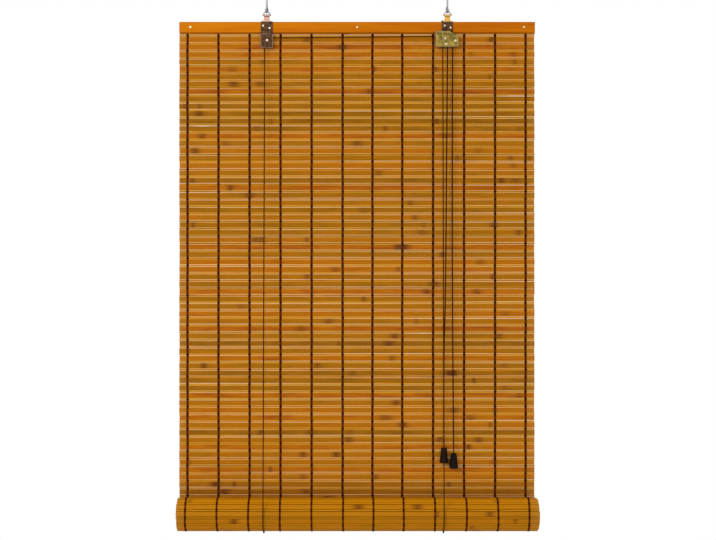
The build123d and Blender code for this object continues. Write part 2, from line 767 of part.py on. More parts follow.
# Pull cords, bell-shaped tassels and the knots inside them
pulls = (
    ("left", left_pull_x, front_plane_y, left_tassel_shift, left_tassel_y, left_pull_length),
    ("right", right_pull_x, rear_plane_y, right_tassel_shift, rear_plane_y, right_pull_length),
)
for side, pull_x, pull_y, shift, tassel_y, length in pulls:
    tassel_x = pull_x + shift
    tassel_top = lock_exit_z - length
    fall = Vector(shift, tassel_y - pull_y, -length)
    with BuildPart() as pull_cord:
        with BuildSketch(Plane(origin=(pull_x, pull_y, lock_exit_z - seat_clearance), z_dir=fall)):
            Circle(cord_radius)
        extrude(amount=fall.length - 2 * seat_clearance)
    save(pull_cord, f"{side}_pull_cord")
    tassel_floor = tassel_top - tassel_height
    cavity_top = tassel_top - tassel_roof
    bore = cord_radius + seat_clearance
    cavity_radius = tassel_top_radius - tassel_wall
    bell = [
        (bore, tassel_top), (tassel_top_radius - tassel_edge, tassel_top),
        (tassel_top_radius, tassel_top - tassel_edge),
        (tassel_bottom_radius, tassel_floor + tassel_edge),
        (tassel_bottom_radius - tassel_edge, tassel_floor),
        (tassel_bottom_radius - tassel_edge - tassel_wall, tassel_floor),
        (cavity_radius, cavity_top), (bore, cavity_top),
    ]
    with BuildPart() as tassel:
        with BuildSketch(upright(tassel_y)):
            with Locations((tassel_x, 0)):
                Polygon(*bell, align=None)
        revolve(axis=Axis((tassel_x, tassel_y, 0), (0, 0, 1)))
    save(tassel, f"{side}_tassel")
    knot = [
        (0, tassel_top), (cord_radius, tassel_top), (cord_radius, cavity_top),
        (knot_radius, cavity_top), (knot_radius, cavity_top - 2 * knot_lift),
        (0, cavity_top - 2 * knot_lift),
    ]
    with BuildPart() as tassel_knot:
        with BuildSketch(upright(tassel_y)):
            with Locations((tassel_x, 0)):
                Polygon(*knot, align=None)
        revolve(axis=Axis((tassel_x, tassel_y, 0), (0, 0, 1)))
    save(tassel_knot, f"{side}_tassel_knot")
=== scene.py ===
import json
import math
import random

import bpy
from mathutils import Vector
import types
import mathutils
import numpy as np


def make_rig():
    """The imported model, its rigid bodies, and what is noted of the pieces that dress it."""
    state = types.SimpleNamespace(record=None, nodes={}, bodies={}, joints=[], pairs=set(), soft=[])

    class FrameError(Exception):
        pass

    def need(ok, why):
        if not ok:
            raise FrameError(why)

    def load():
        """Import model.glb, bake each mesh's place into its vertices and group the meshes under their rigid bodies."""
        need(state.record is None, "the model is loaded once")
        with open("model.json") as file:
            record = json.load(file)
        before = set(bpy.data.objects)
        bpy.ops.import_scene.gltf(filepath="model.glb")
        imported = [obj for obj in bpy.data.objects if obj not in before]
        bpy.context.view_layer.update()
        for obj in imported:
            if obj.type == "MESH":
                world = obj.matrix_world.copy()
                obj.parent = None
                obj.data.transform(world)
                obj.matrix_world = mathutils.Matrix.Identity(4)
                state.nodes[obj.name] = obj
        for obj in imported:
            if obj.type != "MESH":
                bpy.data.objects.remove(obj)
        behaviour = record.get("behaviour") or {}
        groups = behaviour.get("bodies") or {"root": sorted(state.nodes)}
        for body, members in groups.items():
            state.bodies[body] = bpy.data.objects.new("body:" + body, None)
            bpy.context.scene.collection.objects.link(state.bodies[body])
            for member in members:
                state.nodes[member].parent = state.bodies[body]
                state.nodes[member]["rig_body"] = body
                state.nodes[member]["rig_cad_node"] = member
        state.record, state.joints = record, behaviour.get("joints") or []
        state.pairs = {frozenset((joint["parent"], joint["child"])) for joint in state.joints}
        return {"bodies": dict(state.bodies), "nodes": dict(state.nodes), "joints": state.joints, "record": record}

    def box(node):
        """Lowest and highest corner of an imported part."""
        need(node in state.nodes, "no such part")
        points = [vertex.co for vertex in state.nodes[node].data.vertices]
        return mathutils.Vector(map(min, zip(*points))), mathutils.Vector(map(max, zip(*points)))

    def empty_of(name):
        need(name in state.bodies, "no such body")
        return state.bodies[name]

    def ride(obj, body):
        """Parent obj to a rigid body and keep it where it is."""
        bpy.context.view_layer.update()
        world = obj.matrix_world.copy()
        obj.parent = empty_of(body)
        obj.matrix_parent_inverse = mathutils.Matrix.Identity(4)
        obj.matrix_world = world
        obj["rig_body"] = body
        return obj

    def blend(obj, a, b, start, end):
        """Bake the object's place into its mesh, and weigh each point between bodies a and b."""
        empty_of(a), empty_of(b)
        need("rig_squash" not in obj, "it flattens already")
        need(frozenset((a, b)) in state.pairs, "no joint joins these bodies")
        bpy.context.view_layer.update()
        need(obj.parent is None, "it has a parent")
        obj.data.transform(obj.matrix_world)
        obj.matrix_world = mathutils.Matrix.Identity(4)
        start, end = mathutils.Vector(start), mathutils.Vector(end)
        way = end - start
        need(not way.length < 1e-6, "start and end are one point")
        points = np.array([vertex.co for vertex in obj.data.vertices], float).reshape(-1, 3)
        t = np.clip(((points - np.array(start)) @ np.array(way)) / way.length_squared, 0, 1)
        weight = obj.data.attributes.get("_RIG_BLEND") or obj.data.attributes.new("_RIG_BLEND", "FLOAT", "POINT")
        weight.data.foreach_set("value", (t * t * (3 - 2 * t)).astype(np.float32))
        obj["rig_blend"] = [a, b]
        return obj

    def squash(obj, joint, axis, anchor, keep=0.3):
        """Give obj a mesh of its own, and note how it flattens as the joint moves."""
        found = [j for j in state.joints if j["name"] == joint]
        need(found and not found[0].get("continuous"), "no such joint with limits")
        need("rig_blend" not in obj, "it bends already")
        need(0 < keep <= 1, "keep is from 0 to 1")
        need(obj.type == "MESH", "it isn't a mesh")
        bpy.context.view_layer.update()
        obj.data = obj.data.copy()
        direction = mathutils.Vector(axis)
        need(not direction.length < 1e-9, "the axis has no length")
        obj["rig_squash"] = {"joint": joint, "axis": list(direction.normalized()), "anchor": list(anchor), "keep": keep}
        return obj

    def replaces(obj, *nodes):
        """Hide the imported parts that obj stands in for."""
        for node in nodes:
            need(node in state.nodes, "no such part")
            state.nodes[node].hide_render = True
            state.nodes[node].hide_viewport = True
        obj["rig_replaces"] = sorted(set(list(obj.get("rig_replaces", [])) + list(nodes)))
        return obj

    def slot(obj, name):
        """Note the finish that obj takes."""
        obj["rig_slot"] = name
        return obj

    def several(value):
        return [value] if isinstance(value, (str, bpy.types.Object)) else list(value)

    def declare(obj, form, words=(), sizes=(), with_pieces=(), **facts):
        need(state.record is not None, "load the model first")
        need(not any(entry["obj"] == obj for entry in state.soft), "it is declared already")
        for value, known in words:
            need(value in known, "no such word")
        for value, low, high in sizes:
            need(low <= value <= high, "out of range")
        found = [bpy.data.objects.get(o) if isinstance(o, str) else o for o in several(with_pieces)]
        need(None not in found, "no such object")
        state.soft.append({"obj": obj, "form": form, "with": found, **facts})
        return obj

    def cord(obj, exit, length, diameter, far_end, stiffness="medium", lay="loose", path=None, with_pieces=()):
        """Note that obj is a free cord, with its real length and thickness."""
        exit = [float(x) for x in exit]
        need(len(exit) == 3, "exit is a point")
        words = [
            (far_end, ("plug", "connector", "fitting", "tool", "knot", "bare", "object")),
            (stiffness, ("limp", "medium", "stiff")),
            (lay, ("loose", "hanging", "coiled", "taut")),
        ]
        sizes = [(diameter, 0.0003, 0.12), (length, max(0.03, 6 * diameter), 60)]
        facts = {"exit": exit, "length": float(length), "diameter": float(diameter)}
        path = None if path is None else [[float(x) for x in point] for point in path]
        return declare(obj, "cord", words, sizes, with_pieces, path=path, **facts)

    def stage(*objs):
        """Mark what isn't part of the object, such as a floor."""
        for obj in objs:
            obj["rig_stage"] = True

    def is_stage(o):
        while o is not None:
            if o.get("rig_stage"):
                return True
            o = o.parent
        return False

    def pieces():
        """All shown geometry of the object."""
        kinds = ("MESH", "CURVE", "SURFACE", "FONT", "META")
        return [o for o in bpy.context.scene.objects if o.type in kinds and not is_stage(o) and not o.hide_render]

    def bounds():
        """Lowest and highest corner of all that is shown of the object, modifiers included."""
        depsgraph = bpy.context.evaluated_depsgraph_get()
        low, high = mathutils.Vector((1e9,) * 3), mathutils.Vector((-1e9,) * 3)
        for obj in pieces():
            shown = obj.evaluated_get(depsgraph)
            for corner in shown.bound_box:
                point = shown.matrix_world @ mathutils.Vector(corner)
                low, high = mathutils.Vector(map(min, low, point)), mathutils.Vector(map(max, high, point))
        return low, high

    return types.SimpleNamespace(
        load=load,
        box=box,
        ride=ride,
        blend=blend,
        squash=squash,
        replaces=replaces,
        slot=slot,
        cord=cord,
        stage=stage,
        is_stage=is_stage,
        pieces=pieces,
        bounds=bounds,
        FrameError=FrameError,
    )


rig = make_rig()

# Bamboo roll up blind, in metres: X across, Y away from the viewer, Z up from the ceiling plane
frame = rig.load()
cad_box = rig.bounds()
nodes = frame["nodes"]
scene = bpy.context.scene
scene.view_settings.view_transform = "Standard"
dice_seed = 7
dice = random.Random(dice_seed)
full_turn = 2 * math.pi
millimetre = 0.001

# Camera, level and square to the mat
camera_place = (0.002, -3.79, -0.618)
camera_tilt = math.radians(90)
sensor_width = 36
focal_length = 84.8
camera_data = bpy.data.cameras.new("camera")
camera_data.sensor_width = sensor_width
camera_data.lens = focal_length
camera = bpy.data.objects.new("camera", camera_data)
camera.location = camera_place
camera.rotation_euler = (camera_tilt, 0, 0)
scene.collection.objects.link(camera)
scene.camera = camera

# Places taken from the part
head_top = -0.0598175
head_bottom = -0.0838175
mat_y = 0.01155
slat_pitch = 0.0167
flat_pitches = 66
rolled_pitches = 28
blind_width = 0.8
roll_y = -0.02725
roll_z = -1.1620175
roll_mid_radius = 0.0388
turn_pitch = 0.005
slat_thickness = 0.002
half_thick = slat_thickness / 2
wide_height = 0.0113
thin_height = 0.0034
slat_gap = 0.001
flap_height = 0.026
warp_count = 12
warp_reach = 0.3815
cord_radius = 0.0011
sling_radius = 0.04185
rear_cord_y = roll_y + sling_radius
pulley_x = -0.2021
pulley_z = -0.1022175
pulley_radius = 0.0056
front_wheel_x = 0.1976
rear_wheel_x = 0.2093
lock_radius = 0.0054
lock_z = -0.0986175
lock_exit_z = -0.1175175
rear_plane = -0.00125
front_plane = -0.00605
left_cord_x = pulley_x - pulley_radius
right_cord_x = front_wheel_x - lock_radius
left_pull_x = front_wheel_x + lock_radius
right_pull_x = rear_wheel_x + lock_radius

# Angles in degrees above which an edge stays sharp
plain_crease = 40
bar_crease = 35
rope_crease = 60


# Making of meshes
def make_piece(name, points, faces, material, crease=plain_crease, **attributes):
    mesh = bpy.data.meshes.new(name)
    mesh.from_pydata(points, [], faces)
    for key, values in attributes.items():
        kind = "FLOAT" if isinstance(values[0], float) else "FLOAT_VECTOR"
        field = "value" if kind == "FLOAT" else "vector"
        flat_values = values if kind == "FLOAT" else [c for v in values for c in v]
        mesh.attributes.new(key, kind, "POINT").data.foreach_set(field, flat_values)
    mesh.shade_smooth()
    mesh.set_sharp_from_angle(angle=math.radians(crease))
    mesh.materials.append(material)
    piece = bpy.data.objects.new(name, mesh)
    scene.collection.objects.link(piece)
    return piece


def tube_faces(start, rings, sides):
    faces = []
    for ring in range(rings - 1):
        low = start + ring * sides
        for side in range(sides):
            after = (side + 1) % sides
            faces.append((low + side, low + after, low + sides + after, low + sides + side))
    faces.append(tuple(range(start + sides - 1, start - 1, -1)))
    last = start + (rings - 1) * sides
    faces.append(tuple(range(last, last + sides)))
    return faces


spline_order = 3


def spline_line(route, steps):
    """Points along the smooth line that the route's points pull."""
    curve = bpy.data.curves.new("route", "CURVE")
    curve.dimensions = "3D"
    curve.resolution_u = steps
    spline = curve.splines.new("NURBS")
    spline.points.add(len(route) - 1)
    for point, place in zip(spline.points, route):
        point.co = (*place, 1)
    spline.order_u = spline_order
    spline.use_endpoint_u = True
    holder = bpy.data.objects.new("route", curve)
    mesh = bpy.data.meshes.new_from_object(holder)
    line = [v.co.copy() for v in mesh.vertices]
    bpy.data.objects.remove(holder)
    bpy.data.curves.remove(curve)
    bpy.data.meshes.remove(mesh)
    return line


rope_sides = 12
rope_plies = 3
rope_lay = 0.0085
ply_depth_share = 0.1
rope_full_share = 1.18
free_full_share = 1.42
free_taper = 0.012
least_side_share = 0.3


def rope(name, route, steps, material, free_share=rope_full_share):
    """A cord laid from three plies, fuller along its free length, and the line that it follows."""
    line = spline_line(route, steps)
    total = sum((b - a).length for a, b in zip(line, line[1:]))
    points = []
    grain = []
    run = 0.0
    for n, place in enumerate(line):
        before = line[max(n - 1, 0)]
        after = line[min(n + 1, len(line) - 1)]
        run += (place - before).length
        along = (after - before).normalized()
        side_on = along.cross(Vector((1, 0, 0)))
        if side_on.length < least_side_share:
            side_on = along.cross(Vector((0, 1, 0)))
        side_on.normalize()
        up = side_on.cross(along)
        twist = full_turn * run / rope_lay
        free = min(run / free_taper, (total - run) / free_taper, 1)
        full = rope_full_share + (free_share - rope_full_share) * free
        for k in range(rope_sides):
            turn = full_turn * k / rope_sides
            groove = ply_depth_share * (1 - math.cos(rope_plies * (turn - twist)))
            reach = cord_radius * (full - groove)
            points.append(place + side_on * (reach * math.cos(turn)) + up * (reach * math.sin(turn)))
            grain.append((run, turn - twist, 0.0))
    faces = tube_faces(0, len(line), rope_sides)
    return make_piece(name, points, faces, material, rope_crease, grain=grain), line


# Making of materials: noise scales are in waves for each metre, spans are of the noise's own values
plain_rough_share = 0.6
fine_rough_share = 0.65
mid_span = (0.3, 0.7)
unit_shares = (0.0, 1.0)
middle_stop = 0.5
mix_factor = 0
mix_first = 6
mix_second = 7
mix_result = 2


class Shading:
    """The nodes of a material or a world, with short ways to add them."""

    def __init__(self, tree):
        self.nodes = tree.nodes
        self.links = tree.links

    def feed(self, socket, value):
        """Links an output to the socket, or sets the socket to a number or a colour."""
        if isinstance(value, bpy.types.NodeSocket):
            self.links.new(value, socket)
        elif isinstance(value, tuple):
            socket.default_value = (*value, 1)
        else:
            socket.default_value = value

    def add(self, kind, inputs=None, **settings):
        node = self.nodes.new(kind)
        for key, value in settings.items():
            setattr(node, key, value)
        for key, value in (inputs or {}).items():
            node.inputs[key].default_value = value
        return node

    def attribute(self, name, output="Fac"):
        return self.add("ShaderNodeAttribute", attribute_name=name).outputs[output]

    def object_place(self):
        return self.add("ShaderNodeTexCoord").outputs["Object"]

    def maths(self, operation, *values, clamp=False):
        node = self.add("ShaderNodeMath", operation=operation, use_clamp=clamp)
        for socket, value in zip(node.inputs, values):
            self.feed(socket, value)
        return node.outputs[0]

    def ramp(self, source, stops):
        node = self.add("ShaderNodeValToRGB")
        elements = node.color_ramp.elements
        while len(elements) < len(stops):
            elements.new(middle_stop)
        for element, (place, colour) in zip(elements, stops):
            element.position = place
            element.color = (*colour, 1)
        self.links.new(source, node.inputs["Fac"])
        return node.outputs["Color"]

    def mix(self, share, first, second, mode="MIX"):
        node = self.add("ShaderNodeMix", data_type="RGBA", blend_type=mode)
        for index, value in ((mix_factor, share), (mix_first, first), (mix_second, second)):
            self.feed(node.inputs[index], value)
        return node.outputs[mix_result]

    def stretched(self, source, scale):
        mapping = self.add("ShaderNodeMapping", {"Scale": scale})
        self.links.new(source, mapping.inputs["Vector"])
        return mapping.outputs["Vector"]

    def noise(self, source, scale, detail, rough=plain_rough_share):
        node = self.add("ShaderNodeTexNoise", {"Scale": 1, "Detail": detail, "Roughness": rough})
        self.links.new(self.stretched(source, scale), node.inputs["Vector"])
        return node.outputs["Fac"]

    def ranged(self, source, span, shares=unit_shares):
        node = self.add("ShaderNodeMapRange", dict(enumerate((*span, *shares), start=1)))
        self.links.new(source, node.inputs[0])
        return node.outputs[0]

    def bump(self, shader, source, strength, depth):
        node = self.add("ShaderNodeBump", {"Strength": strength, "Distance": depth})
        self.links.new(source, node.inputs["Height"])
        self.links.new(node.outputs["Normal"], shader.inputs["Normal"])


def new_material(name):
    material = bpy.data.materials.new(name)
    material.use_nodes = True
    tree = material.node_tree
    return material, Shading(tree), tree.nodes["Principled BSDF"]


def spaced(*colours):
    """Stops of a colour ramp, evenly over the middle of the noise."""
    low, high = mid_span
    return [(low + (high - low) * k / (len(colours) - 1), colour) for k, colour in enumerate(colours)]


# Bamboo: olive through straw to red brown, with paler rims, dark nodes and raw ends
bamboo_stops = [
    (0.0, (0.25, 0.092, 0.001)),
    (0.25, (0.345, 0.128, 0.001)),
    (0.5, (0.43, 0.150, 0.001)),
    (0.72, (0.49, 0.148, 0.001)),
    (0.88, (0.40, 0.100, 0.001)),
    (1.0, (0.30, 0.068, 0.001)),
]
mat_rim_colour = (0.82, 0.42, 0.045)
roll_pale_colour = (0.70, 0.285, 0.003)
fleck_colour = (0.15, 0.045, 0.002)
knot_colour = (0.13, 0.030, 0.002)
raw_end_colour = (0.56, 0.31, 0.075)
drift_scale = (11, 60, 1)
drift_detail = 3
drift_gain = 1.3
tone_span = (0.42, 1.88)
fleck_scale = (48, 800, 1)
fleck_detail = 2
fleck_span = (0.62, 0.72)
fleck_shares = (0.0, 0.5)
fibre_scale = (14, 1100, 1)
fibre_detail = 5
streak_span = (0.25, 0.75)
streak_shares = (0.74, 1.16)
torn_scale = (45, 800, 1)
torn_detail = 4
torn_shares = (0.3, 1.4)
bamboo_rough_shares = (0.62, 0.46)
bamboo_specular_share = 0.06
bamboo_bump_share = 0.3
fibre_depth = 0.0003


def bamboo_material(name, pale_colour):
    material, shading, shader = new_material(name)
    grain = shading.attribute("grain", "Vector")
    drift = shading.noise(grain, drift_scale, drift_detail)
    toned = shading.maths("MULTIPLY_ADD", drift, drift_gain, shading.attribute("tone"))
    tones = shading.ramp(shading.ranged(toned, tone_span), bamboo_stops)
    flecks = shading.ranged(shading.noise(grain, fleck_scale, fleck_detail), fleck_span, fleck_shares)
    flecked = shading.mix(flecks, tones, fleck_colour)
    paled = shading.mix(shading.attribute("pale"), flecked, pale_colour)
    fibres = shading.noise(grain, fibre_scale, fibre_detail, fine_rough_share)
    streaks = shading.ranged(fibres, streak_span, streak_shares)
    grey = shading.add("ShaderNodeCombineColor")
    for channel in grey.inputs:
        shading.feed(channel, streaks)
    streaked = shading.mix(1.0, paled, grey.outputs["Color"], "MULTIPLY")
    torn = shading.ranged(shading.noise(grain, torn_scale, torn_detail), mid_span, torn_shares)
    marked = shading.maths("MULTIPLY", shading.attribute("mark"), torn, clamp=True)
    knotted = shading.mix(marked, streaked, knot_colour)
    ended = shading.mix(shading.attribute("cut"), knotted, raw_end_colour)
    shading.feed(shader.inputs["Base Color"], ended)
    shading.feed(shader.inputs["Roughness"], shading.ranged(fibres, mid_span, bamboo_rough_shares))
    shader.inputs["Specular IOR Level"].default_value = bamboo_specular_share
    shading.bump(shader, fibres, bamboo_bump_share, fibre_depth)
    return material


# Warp thread: nearly black where it bunches up at the sticks, browner where it lies on the slats
bunched_stops = [
    (0.0, (0.016, 0.003, 0.0004)),
    (0.6, (0.042, 0.007, 0.0006)),
    (1.0, (0.09, 0.017, 0.001)),
]
spread_stops = [
    (0.0, (0.042, 0.007, 0.0006)),
    (0.6, (0.090, 0.015, 0.001)),
    (1.0, (0.16, 0.030, 0.002)),
]
ply_wave = {"Scale": 1, "Distortion": 1.2, "Detail": 2, "Detail Scale": 2}
ply_scale = (260, 260, 260)
thread_rough_share = 0.85
thread_bump_share = 0.5
yarn_specular_share = 0.05


def thread_material():
    material, shading, shader = new_material("warp_thread")
    wave = shading.add("ShaderNodeTexWave", ply_wave, bands_direction="DIAGONAL")
    shading.feed(wave.inputs["Vector"], shading.stretched(shading.attribute("grain", "Vector"), ply_scale))
    plies = wave.outputs["Fac"]
    bunched = shading.ramp(plies, bunched_stops)
    spread_out = shading.ramp(plies, spread_stops)
    blended = shading.mix(shading.attribute("spread"), bunched, spread_out)
    shading.feed(shader.inputs["Base Color"], blended)
    shader.inputs["Roughness"].default_value = thread_rough_share
    shader.inputs["Specular IOR Level"].default_value = yarn_specular_share
    shading.bump(shader, plies, thread_bump_share, fibre_depth)
    return material


# Lift and pull cords: dark red brown
cord_stops = [(0.25, (0.018, 0.0035, 0.0004)), (0.75, (0.055, 0.012, 0.001))]
fuzz_scale = (700, 4, 1)
fuzz_detail = 3
cord_rough_share = 0.8
cord_bump_share = 0.4
fuzz_depth = 0.0002


def cord_material(name):
    material, shading, shader = new_material(name)
    fuzz = shading.noise(shading.attribute("grain", "Vector"), fuzz_scale, fuzz_detail)
    shading.feed(shader.inputs["Base Color"], shading.ramp(fuzz, cord_stops))
    shader.inputs["Roughness"].default_value = cord_rough_share
    shader.inputs["Specular IOR Level"].default_value = yarn_specular_share
    shading.bump(shader, fuzz, cord_bump_share, fuzz_depth)
    return material


# Battens: orange varnish over fine grain
varnish_stops = spaced((0.43, 0.102, 0.001), (0.55, 0.144, 0.001), (0.67, 0.204, 0.001))
broad_scale = (2.2, 20, 24)
broad_detail = 3
wood_scale = (9, 420, 420)
wood_detail = 5
dark_grain_colour = (0.36, 0.075, 0.001)
dark_grain_span = (0.52, 0.76)
dark_grain_shares = (0.0, 0.62)
varnish_rough_shares = (0.42, 0.3)
varnish_specular_share = 0.03
coat_share = 0.01
coat_rough_share = 0.2
varnish_bump_share = 0.12


def varnish_material():
    material, shading, shader = new_material("varnished_batten")
    place = shading.object_place()
    tones = shading.ramp(shading.noise(place, broad_scale, broad_detail), varnish_stops)
    fibres = shading.noise(place, wood_scale, wood_detail, fine_rough_share)
    dark = shading.ranged(fibres, dark_grain_span, dark_grain_shares)
    shading.feed(shader.inputs["Base Color"], shading.mix(dark, tones, dark_grain_colour))
    shading.feed(shader.inputs["Roughness"], shading.ranged(fibres, mid_span, varnish_rough_shares))
    shader.inputs["Specular IOR Level"].default_value = varnish_specular_share
    shader.inputs["Coat Weight"].default_value = coat_share
    shader.inputs["Coat Roughness"].default_value = coat_rough_share
    shading.bump(shader, fibres, varnish_bump_share, fibre_depth)
    return material


# Metal: mottled, and bare along the rim of a box where hands have rubbed it
fine_mottle = 320
mottle_detail = 4
mottle_depth = 0.0002
metal_bump_share = 0.15
metal_gloss_share = 0.5
smoother_share = 0.08
rougher_share = 0.1
rub_gain = 0.0016
rub_shift = -0.0008
rim_span = (0.0006, 0.0013)
rim_shares = (0.9, 0.0)
fade_half = 0.0006


def distance_inside(shading, split, low, high):
    """How far a place lies inside a box's left, right, lower and upper bounds, whichever is nearest."""
    nearest = None
    for axis in (0, 2):
        for bound, sign in ((low[axis], 1), (high[axis], -1)):
            inward = shading.maths("MULTIPLY_ADD", split.outputs[axis], sign, -sign * bound)
            nearest = shading.maths("MINIMUM", nearest, inward) if nearest else inward
    return nearest


def metal_material(
    name, stops, rough, mottle_scale=fine_mottle, metallic=1.0, bump_share=metal_bump_share,
    gloss=metal_gloss_share, worn=None, fade=None,
):
    """Mottled metal: worn is a box and its rim's bare colour, fade a height and the colour above it."""
    material, shading, shader = new_material(name)
    place = shading.object_place()
    mottle = shading.noise(place, (mottle_scale, mottle_scale, mottle_scale), mottle_detail)
    colour = shading.ramp(mottle, stops)
    split = shading.add("ShaderNodeSeparateXYZ")
    shading.feed(split.inputs[0], place)
    if worn:
        (low, high), bare_colour = worn
        rubbed = shading.maths("MULTIPLY_ADD", mottle, rub_gain, rub_shift)
        uneven = shading.maths("SUBTRACT", distance_inside(shading, split, low, high), rubbed)
        colour = shading.mix(shading.ranged(uneven, rim_span, rim_shares), colour, bare_colour)
    if fade:
        height, pale_colour = fade
        share = shading.ranged(split.outputs[2], (height - fade_half, height + fade_half))
        colour = shading.mix(share, colour, pale_colour)
    shading.feed(shader.inputs["Base Color"], colour)
    rough_shares = (rough - smoother_share, rough + rougher_share)
    shading.feed(shader.inputs["Roughness"], shading.ranged(mottle, mid_span, rough_shares))
    shader.inputs["Metallic"].default_value = metallic
    shader.inputs["Specular IOR Level"].default_value = gloss
    shading.bump(shader, mottle, bump_share, mottle_depth)
    return material


bamboo = bamboo_material("bamboo_slats", mat_rim_colour)
rolled_bamboo = bamboo_material("rolled_bamboo", roll_pale_colour)
thread = thread_material()
dark_cord = cord_material("lift_cord")
varnish = varnish_material()

# Pull cords: straight out of the lock, hanging with a slight lean to their tassels
left_tassel_x = 0.1952
right_tassel_x = 0.2170
left_tassel_y = 0.00035
left_length = 0.900
right_length = 0.912
knot_gap = 0.0001
corner_reach = 0.0132
pull_routes = {
    "left": [
        (left_pull_x, front_plane, lock_exit_z - knot_gap),
        (0.2028, front_plane, lock_exit_z - corner_reach),
        (0.2004, -0.0040, -0.42),
        (0.1988, -0.0020, -0.69),
        (0.1948, -0.0011, -0.80),
        (0.1950, left_tassel_y, -0.985),
        (left_tassel_x, left_tassel_y, lock_exit_z - left_length + knot_gap),
    ],
    "right": [
        (right_pull_x, rear_plane, lock_exit_z - knot_gap),
        (0.2146, rear_plane, lock_exit_z - corner_reach),
        (0.2138, rear_plane, -0.40),
        (0.2142, rear_plane, -0.72),
        (0.2168, rear_plane, -0.99),
        (right_tassel_x, rear_plane, lock_exit_z - right_length + knot_gap),
    ],
}
pull_travel = 0.82
pull_steps = 200
for side, length in (("left", left_length), ("right", right_length)):
    route = pull_routes[side]
    pull, line = rope(f"{side}_pull_rope", route, pull_steps, dark_cord, free_full_share)
    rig.replaces(pull, f"{side}_pull_cord")
    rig.slot(pull, "cord")
    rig.ride(pull, "head")
    kept_share = 1 - pull_travel / (route[0][2] - route[-1][2])
    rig.squash(pull, f"{side}_pull", axis=(0, 0, 1), anchor=route[0], keep=kept_share)
    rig.cord(
        pull, exit=route[0], length=length, diameter=2 * cord_radius, far_end="fitting", stiffness="limp",
        lay="hanging", path=line, with_pieces=[nodes[f"{side}_tassel"], nodes[f"{side}_tassel_knot"]],
    )

# Lift cords: over the wheels, down the front, under the roll and up behind the mat
cross_route = [
    (left_cord_x, rear_plane, pulley_z),
    (left_cord_x, rear_plane, pulley_z + pulley_radius),
    (left_cord_x + corner_reach, rear_plane, pulley_z + pulley_radius),
    (right_pull_x - corner_reach, rear_plane, lock_z + lock_radius),
    (right_pull_x, rear_plane, lock_z + lock_radius),
    (right_pull_x, rear_plane, lock_z - lock_radius),
    (right_pull_x, rear_plane, lock_exit_z),
]
lock_route = [
    (right_cord_x, front_plane, lock_z),
    (right_cord_x, front_plane, lock_z + lock_radius),
    (left_pull_x, front_plane, lock_z + lock_radius),
    (left_pull_x, front_plane, lock_z - lock_radius),
    (left_pull_x, front_plane, lock_exit_z),
]
cross_steps = 110
bend_steps = 24
straight_steps = 1000
for name, route, steps in (("cross_cord", cross_route, cross_steps), ("lock_cord", lock_route, bend_steps)):
    piece, line = rope(name.replace("cord", "rope"), route, steps, dark_cord)
    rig.replaces(piece, name)
    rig.slot(piece, "cord")
    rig.ride(piece, "head")

sling_corner = math.radians(30)
legs = (("left", left_cord_x, rear_plane, pulley_z), ("right", right_cord_x, front_plane, lock_z))
for side, cord_x, start_y, start_z in legs:
    away = math.hypot(start_y - roll_y, start_z - roll_z)
    leave = math.atan2(start_z - roll_z, start_y - roll_y) + math.acos(sling_radius / away)
    end = (cord_x, roll_y + sling_radius * math.cos(leave), roll_z + sling_radius * math.sin(leave))
    start = (cord_x, start_y, start_z)
    front, line = rope(f"{side}_front_rope", [start, end], straight_steps, dark_cord)
    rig.replaces(front, f"{side}_front_cord")
    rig.blend(front, "head", "sling", start=start, end=end)
    top = (cord_x, rear_cord_y, head_top)
    low = (cord_x, rear_cord_y, roll_z)
    rear, line = rope(f"{side}_rear_rope", [top, low], straight_steps, dark_cord)
    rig.replaces(rear, f"{side}_rear_cord")
    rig.blend(rear, "head", "sling", start=top, end=low)
    span = full_turn - leave
    corners = math.ceil(span / sling_corner)
    step = span / corners
    outer = sling_radius / math.cos(step / 2)
    route = [low]
    for k in range(corners):
        turn = (k + 1 / 2) * step
        route.append((cord_x, roll_y + outer * math.cos(turn), roll_z - outer * math.sin(turn)))
    route.append(end)
    sling, line = rope(f"{side}_sling_rope", route, bend_steps, dark_cord)
    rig.replaces(sling, f"{side}_cord_sling")
    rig.ride(sling, "sling")
    for piece in (front, rear, sling):
        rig.slot(piece, "cord")

# Slats and sticks
swell_share = 0.12
rim_share = 0.97
grain_stride = 3.1
grain_stagger = 0.37
end_cut_shares = {0: 0.6, 1: 0.16, -2: 0.16, -1: 0.6}


class Bars:
    """Collects bars of bamboo into one mesh."""

    def __init__(self):
        self.points = []
        self.faces = []
        self.tone = []
        self.mark = []
        self.cut = []
        self.pale = []
        self.grain = []

    def bar(self, profile, stations, place, tone, marks, seed, paleness, rim_paleness, stain=0.0):
        start = len(self.points)
        sides = len(profile)
        rim = rim_share * max(u for u, v in profile)
        for x in stations:
            swell = sum(depth * math.exp(-(((x - at) / reach) ** 2)) for at, reach, depth in marks)
            for u, v in profile:
                self.points.append(place(x, u, v * (1 + swell_share * min(swell, 1))))
                self.tone.append(tone)
                self.mark.append(float(swell + stain))
                self.cut.append(0.0)
                self.pale.append(rim_paleness if abs(u) > rim else paleness)
                self.grain.append((x + grain_stride * seed, u + grain_stagger * seed, v))
        self.faces += tube_faces(start, len(stations), sides)
        for ring, share in end_cut_shares.items():
            low = start + (ring % len(stations)) * sides
            self.cut[low:low + sides] = sides * [share]

    def piece(self, name, material):
        return make_piece(
            name, self.points, self.faces, material, bar_crease,
            tone=self.tone, mark=self.mark, cut=self.cut, pale=self.pale, grain=self.grain,
        )


slat_edge = 0.0011
slat_side_share = 0.4
slat_crown_share = 0.4
slat_shoulder_share = 0.9
slat_back_share = 0.95
stick_side_share = 0.5
stick_flat_share = 0.5
stick_front_share = 0.95
stick_back_share = 0.9


